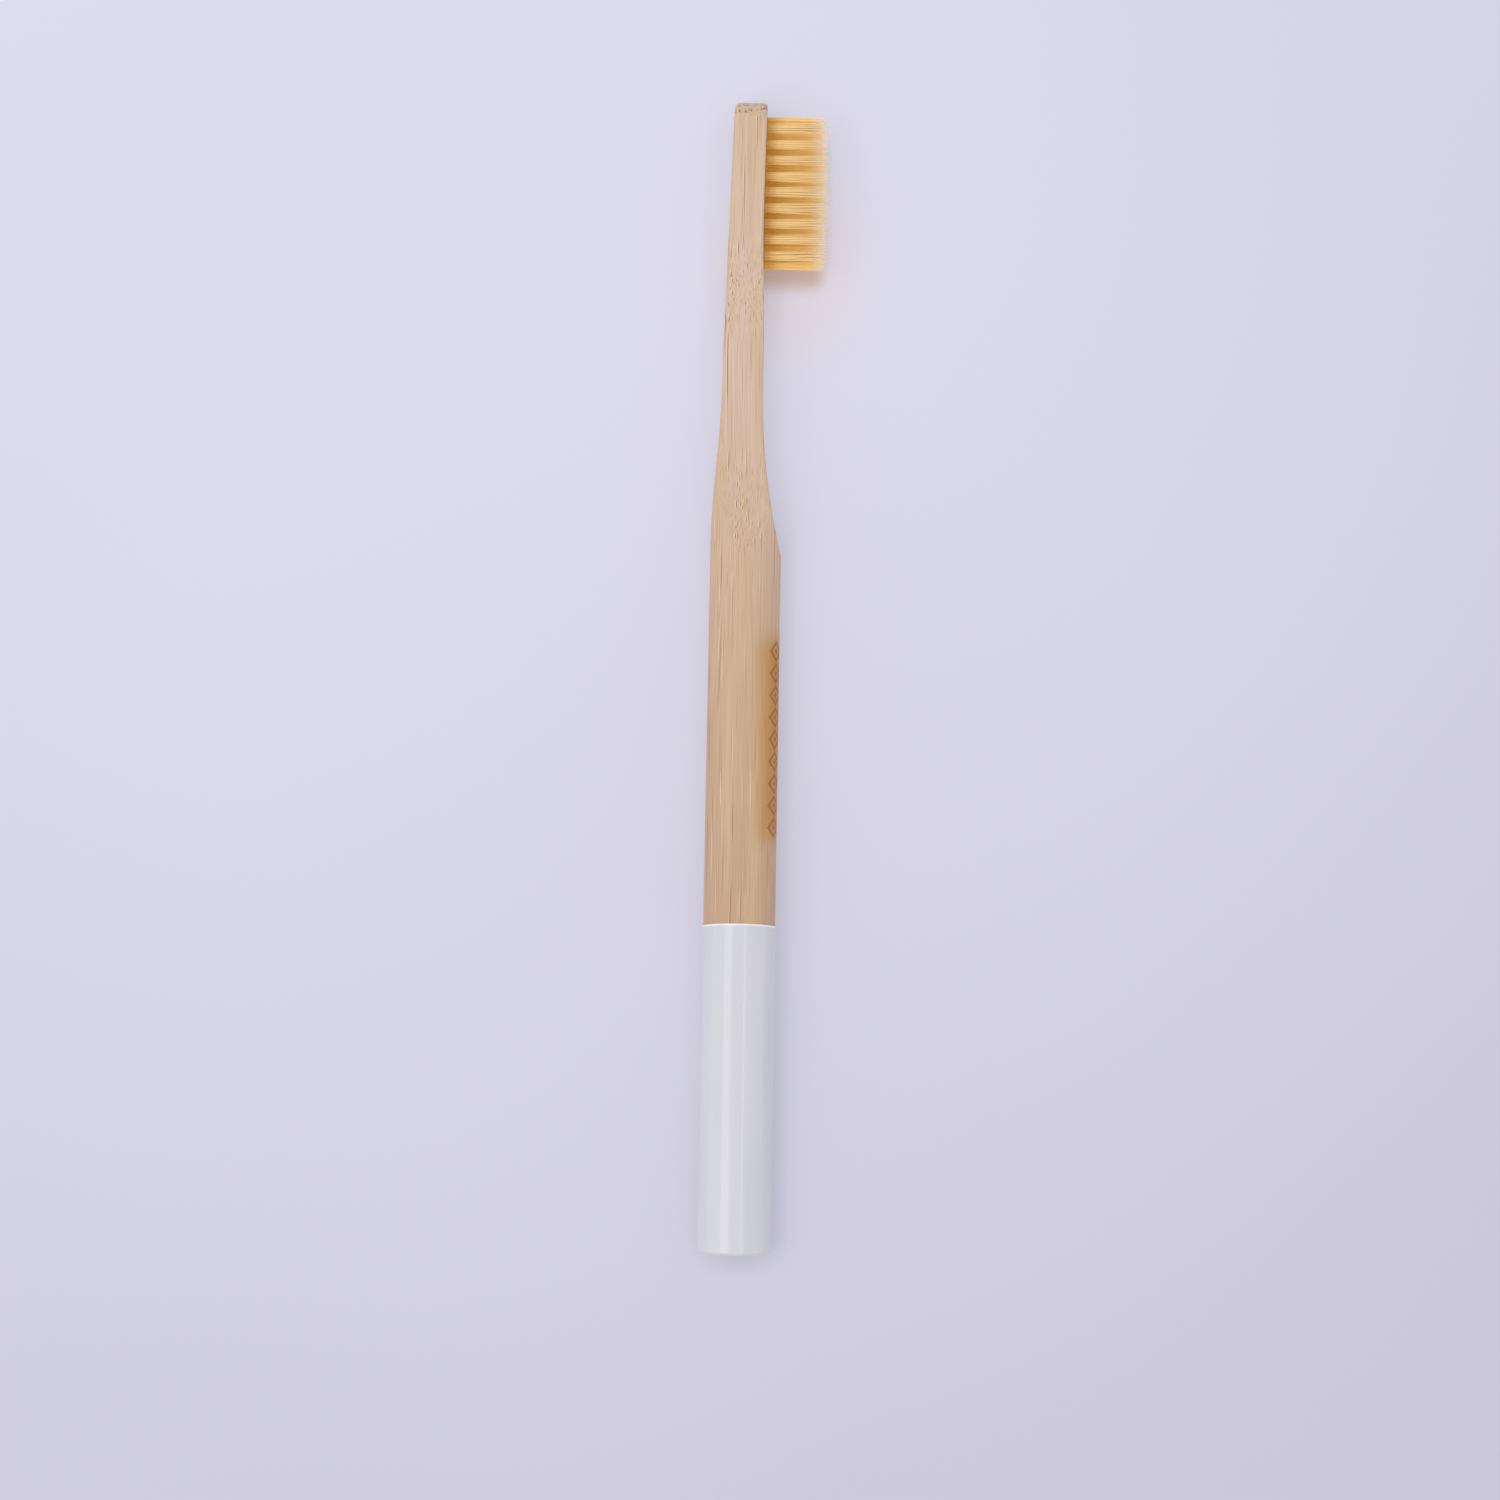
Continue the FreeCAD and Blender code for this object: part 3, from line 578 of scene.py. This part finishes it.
pits = sum_node(tree, "ADD", sum_node(tree, "MULTIPLY", dark_lines, PIT_DEPTH),
                sum_node(tree, "MULTIPLY", streaks, STREAK_HEIGHT))
relief = add(tree, "ShaderNodeBump", Height=pits, Strength=0.35, Distance=0.06 * MM)
fill_named(tree, bamboo_shader, Base_Color=wood, Specular_IOR_Level=0.35,
           Roughness=slide(tree, streaks, *NOISE_RANGE, SMOOTHEST, ROUGHEST),
           Normal=relief.outputs["Normal"])


def put_on(node_name, finish):
    """Puts a finish on one of the solids."""
    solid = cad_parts[node_name]
    if solid.material_slots:
        solid.material_slots[0].material = finish
    else:
        solid.data.materials.append(finish)
    return solid


put_on("bamboo_handle", bamboo)
print("bamboo on the handle")

# %% [markdown]
# ## The dipped coat
# The grip's end was dipped in white lacquer, which dried as a thin glossy skin. Lacquer is
# never quite even: it follows the wood's long ripples, so the lines of gloss waver, and it ends
# at the dip line in a round lip. The ripples could be modelled, but they are finer than any mesh,
# so long stretched noise in the bump gives them. A narrow strip by the dip line gets a whiter
# colour, a painted highlight where the lip catches the light.

# %% White lacquer: colour and the painted highlight by the dip line
LACQUER_WHITE = screen_colour(213, 212, 217)
LACQUER_SHADE = screen_colour(209, 209, 214)
PAINTED_RIM_HIGHLIGHT = screen_colour(244, 240, 242)
DIP_LEAN = math.radians(6.0)
LACQUER_GRAIN = (5.0, 25.0)
LACQUER_RANGE = (0.35, 0.65)
RIM_HIGHLIGHT_RANGE_MM = (0.15, 0.42)
RIM_HIGHLIGHT_SHARE = 0.9

lacquer, tree, shader = new_finish("white_lacquer")
point, _, y, z = place_in_mm(tree)
cloud = long_noise(tree, point, *LACQUER_GRAIN).outputs["Fac"]
white = blend_colours(tree, slide(tree, cloud, *LACQUER_RANGE), LACQUER_WHITE, LACQUER_SHADE)

# The dip line leans, so its place along the brush depends on the height over the table.
dip_y = (coat_high[1] - COAT_RADIUS * math.tan(DIP_LEAN)) / MM
leaning_y = sum_node(tree, "MULTIPLY_ADD", sum_node(tree, "SUBTRACT", z, AXIS_Z / MM),
                     math.tan(DIP_LEAN), dip_y)
from_dip = sum_node(tree, "SUBTRACT", leaning_y, y)
# Painted highlight: a whiter strip by the dip line, where the lip catches the light.
painted_rim_highlight = slide(tree, from_dip, *RIM_HIGHLIGHT_RANGE_MM, RIM_HIGHLIGHT_SHARE, 0.0)
white = blend_colours(tree, painted_rim_highlight, white, PAINTED_RIM_HIGHLIGHT)
print(f"dip line at y {dip_y:.1f} mm on the axis")

# %% White lacquer: gloss and ripples
RIPPLE_GRAIN = (1.8, 38.0)

ripple = long_noise(tree, point, *RIPPLE_GRAIN, detail=1.0)
waver = add(tree, "ShaderNodeBump", Height=ripple.outputs["Fac"], Strength=0.04,
            Distance=0.12 * MM)
fill_named(tree, shader, Base_Color=white, Roughness=0.38, Coat_Weight=0.48,
           Coat_Roughness=0.04, Normal=waver.outputs["Normal"])
coat = put_on("white_dip_coat", lacquer)
print("lacquer on the coat")

# %% White lacquer: the round lip
# A bevel rounds the lip, and weighted normals keep the large faces beside it evenly shaded.
RIM_WIDTH = 0.09 * MM
RIM_ANGLE = math.radians(30.0)

rim = coat.modifiers.new("rounded_rim", "BEVEL")
rim.width = RIM_WIDTH
rim.segments = 2
rim.limit_method = "ANGLE"
rim.angle_limit = RIM_ANGLE
coat.modifiers.new("even_shading", "WEIGHTED_NORMAL")
print(f"coat's edges rounded by {RIM_WIDTH / MM:.2f} mm")

# %% [markdown]
# ## Brass anchors
# Each tuft is folded round a small brass strip that is driven into the hole. The strips sit
# deep in the head and hardly show, so a plain drawn brass with fine scratches is enough.

# %% Drawn brass
BRASS_DARK = screen_colour(196, 160, 92)
BRASS_BRIGHT = screen_colour(222, 190, 122)
SCRATCH_GRAIN = (0.05, 1.0)
BRASS_SMOOTHEST, BRASS_ROUGHEST = 0.25, 0.45

brass, tree, shader = new_finish("drawn_brass")
point = place_in_mm(tree)[0]
scratches = long_noise(tree, point, *SCRATCH_GRAIN).outputs["Fac"]
fill_named(tree, shader, Metallic=1.0,
           Base_Color=blend_colours(tree, scratches, BRASS_DARK, BRASS_BRIGHT),
           Roughness=slide(tree, scratches, *NOISE_RANGE, BRASS_SMOOTHEST, BRASS_ROUGHEST))
put_on("tuft_anchors", brass)
print("brass on the anchors")

# %% [markdown]
# ## Finish of the bristles
# The bristles are golden nylon, nearly white at their fine tips. The deeper gold at their roots is
# painted shade, and the deep yellow between the tufts is painted light. Light goes through nylon
# and is scattered from bristle to bristle. Real scattering in thousands of thin bristles is slow
# and noisy, so a faint painted glow stands in for it, stronger low between the tufts than on the
# row that faces the light.

# %% Bristles: golden from root to tip, with painted shade at the roots
# The root colour is painted shade: a deeper gold where the crowded roots lie in shade.
PAINTED_SHADE_ROOT_GOLD = screen_colour(247, 194, 99)
MIDDLE_GOLD = screen_colour(248, 213, 141)
TIP_GOLD = screen_colour(247, 234, 215)
TONE_GOLD = screen_colour(246, 221, 172)
SHEEN_GOLD = screen_colour(255, 214, 140)
HIDDEN_FOLD = 3.4 * MM
ROOT_RUN_MM = (-0.3, 4.2)
TIP_RUN_MM = (6.7, 10.6)
TONE_SCALE = 2.2
TONE_SHARE = 0.3

bristle, tree, shader = new_finish("golden_bristle")
point, x, _, z = place_in_mm(tree)
bristle_face_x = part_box("tuft_middle_5")[0][0] + HIDDEN_FOLD
out = sum_node(tree, "SUBTRACT", x, bristle_face_x / MM)
golden = blend_colours(tree, slide(tree, out, *ROOT_RUN_MM), PAINTED_SHADE_ROOT_GOLD, MIDDLE_GOLD)
golden = blend_colours(tree, slide(tree, out, *TIP_RUN_MM), golden, TIP_GOLD)
tone = add(tree, "ShaderNodeTexNoise", Vector=point, Scale=TONE_SCALE, Detail=0.0)
toned = slide(tree, tone.outputs["Fac"], *NOISE_RANGE, 0.0, TONE_SHARE)
golden = blend_colours(tree, toned, golden, TONE_GOLD)
fill_named(tree, shader, Base_Color=golden, Roughness=0.42, Specular_IOR_Level=0.4,
           Sheen_Weight=0.35, Sheen_Roughness=0.5, Sheen_Tint=SHEEN_GOLD)
print(f"bristles leave the head at x {bristle_face_x / MM:.2f} mm")

# %% Bristles: painted glow for light scattered between them
INNER_GLOW = (1.0, 0.58, 0.0, 1.0)
TIP_GLOW = (1.2, 0.85, 0.3, 1.0)
OUTER_GLOW = (0.36, 0.27, 0.16, 1.0)
GLOW_STRENGTH = 0.1
GLOW_RUN_MM = (4.5, 9.5)
OUTER_ROW_Z_MM = (7.0, 8.6)

# Painted light: an emission glow, deep orange low between the tufts and weaker on the outer row
# that faces the light.
inner_painted_glow = blend_colours(tree, slide(tree, out, *GLOW_RUN_MM), INNER_GLOW, TIP_GLOW)
painted_glow = blend_colours(tree, slide(tree, z, *OUTER_ROW_Z_MM), inner_painted_glow, OUTER_GLOW)
fill_named(tree, shader, Emission_Color=painted_glow, Emission_Strength=GLOW_STRENGTH)
print("bristles glow with a strength of", GLOW_STRENGTH)

# %% [markdown]
# ## Bristles
# A tuft is a few dozen nylon bristles, not a peg. These are the soft tapered kind: straight
# for most of their length, then drawn out to a fine point, which is why the brush's edge looks
# misty. Hair particles could fill a tuft, but they give no mesh to keep. So one bristle is
# drawn as a six-sided disc that is extruded ring by ring, each ring thinner than the last, and
# its copies are stretched, bent and splayed. Every tuft takes the place of its solid, so the
# row, the height and the trimmed crown come from the model.

# %% Bristles: one bristle to copy
BRISTLE_RADIUS = 0.095 * MM
BRISTLE_SIDES = 6
# Each ring's place along the bristle and its thickness there, as shares of the whole.
TAPER = ((0.0, 1.0), (0.4, 1.0), (0.62, 0.84), (0.79, 0.55), (0.91, 0.3), (1.0, 0.08))


def draw_bristle():
    """Draws one bristle, a metre long for now: a disc that is extruded ring by ring."""
    work = bmesh.new()
    bmesh.ops.create_circle(work, cap_ends=True, segments=BRISTLE_SIDES, radius=BRISTLE_RADIUS,
                            matrix=Matrix.Rotation(math.pi / 2, 4, "Y"))
    work.faces.ensure_lookup_table()
    end = work.faces[0]
    for (low, thick), (high, thin) in zip(TAPER, TAPER[1:]):
        end = bmesh.ops.extrude_discrete_faces(work, faces=[end])["faces"][0]
        ring = list(end.verts)
        bmesh.ops.scale(work, vec=(1.0, thin / thick, thin / thick), verts=ring)
        bmesh.ops.translate(work, vec=(high - low, 0.0, 0.0), verts=ring)
    # Each step takes the old disc away, so the root is closed again.
    bmesh.ops.holes_fill(work, edges=work.edges[:], sides=BRISTLE_SIDES)
    bmesh.ops.recalc_face_normals(work, faces=work.faces)
    mesh = bpy.data.meshes.new("one_bristle")
    work.to_mesh(mesh)
    work.free()
    return mesh


one_bristle = draw_bristle()
print("one bristle:", len(one_bristle.vertices), "points,", len(one_bristle.polygons), "faces")

# %% Bristles: a bristle in its place
BRISTLES_IN_TUFT = 46
HOLE_DEPTH_SHOWN = 1.3 * MM
TUFT_ROOT_RADIUS = 0.70 * MM
GOLDEN_ANGLE = math.pi * (3.0 - math.sqrt(5.0))


def root_offset(number):
    """Gives one bristle's place in the hole: a sunflower spiral fills it evenly."""
    reach = math.sqrt((number + 0.5) / BRISTLES_IN_TUFT) * TUFT_ROOT_RADIUS
    turn = number * GOLDEN_ANGLE
    return Vector((0.0, math.cos(turn), math.sin(turn))) * reach


def add_bristle(work, root, tip, bend):
    """Copies the bristle, stretches it from root to tip and bends it a little."""
    work.from_mesh(one_bristle)
    work.verts.ensure_lookup_table()
    copy = work.verts[-len(one_bristle.vertices):]
    for vert in copy:
        share = vert.co.x
        vert.co.x = 0.0
        vert.co += root + (tip - root) * share + bend * math.sin(math.pi * share)


print(BRISTLES_IN_TUFT, "bristles to a tuft, in a hole of radius", TUFT_ROOT_RADIUS / MM, "mm")

# %% Bristles: a tuft of copies
# Spreads in millimetres: of a whole tuft's lean, of one tip's stray and of one bristle's bend.
TUFT_LEAN, TIP_STRAY, BRISTLE_BEND = 0.09, 0.06, 0.03
LEAST_SPLAY, MOST_SPLAY = 0.12, 0.48
MOST_SHORT_MM = 1.05


def sideways(chance, spread):
    """Gives a small random move square to the bristles."""
    return Vector((0.0, chance.gauss(0.0, spread), chance.gauss(0.0, spread))) * MM


def grow_tuft(node_name, piece_name, chance):
    """Grows one tuft of bristles in the place of its solid."""
    low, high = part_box(node_name)
    middle = Vector((0.0, (low[1] + high[1]) / 2, (low[2] + high[2]) / 2))
    start_x = bristle_face_x - HOLE_DEPTH_SHOWN
    lean = sideways(chance, TUFT_LEAN)
    work = bmesh.new()
    for number in range(BRISTLES_IN_TUFT):
        out = root_offset(number)
        root = Vector((start_x, 0.0, 0.0)) + middle + out
        splay = out * chance.uniform(LEAST_SPLAY, MOST_SPLAY)
        stray = sideways(chance, TIP_STRAY)
        tip_x = high[0] - chance.uniform(0.0, MOST_SHORT_MM) * MM
        tip = Vector((tip_x, 0.0, 0.0)) + middle + out
        tip += splay + stray + lean
        add_bristle(work, root, tip, sideways(chance, BRISTLE_BEND))
    mesh = bpy.data.meshes.new(piece_name)
    work.to_mesh(mesh)
    work.free()
    for face in mesh.polygons:
        face.use_smooth = True
    mesh.materials.append(bristle)
    tuft = bpy.data.objects.new(piece_name, mesh)
    bpy.context.scene.collection.objects.link(tuft)
    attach(tuft, "root")
    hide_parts(node_name)
    return tuft


print("a tuft's tips end up to", MOST_SHORT_MM, "mm apart")

# %% Bristles: grow every tuft
chance = random.Random(28)
tufts = []
for node_name in sorted(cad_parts):
    if node_name.startswith("tuft_") and node_name != "tuft_anchors":
        tufts.append(grow_tuft(node_name, node_name.replace("tuft", "bristles"), chance))
print(len(tufts), "tufts,", sum(len(tuft.data.polygons) for tuft in tufts), "faces")
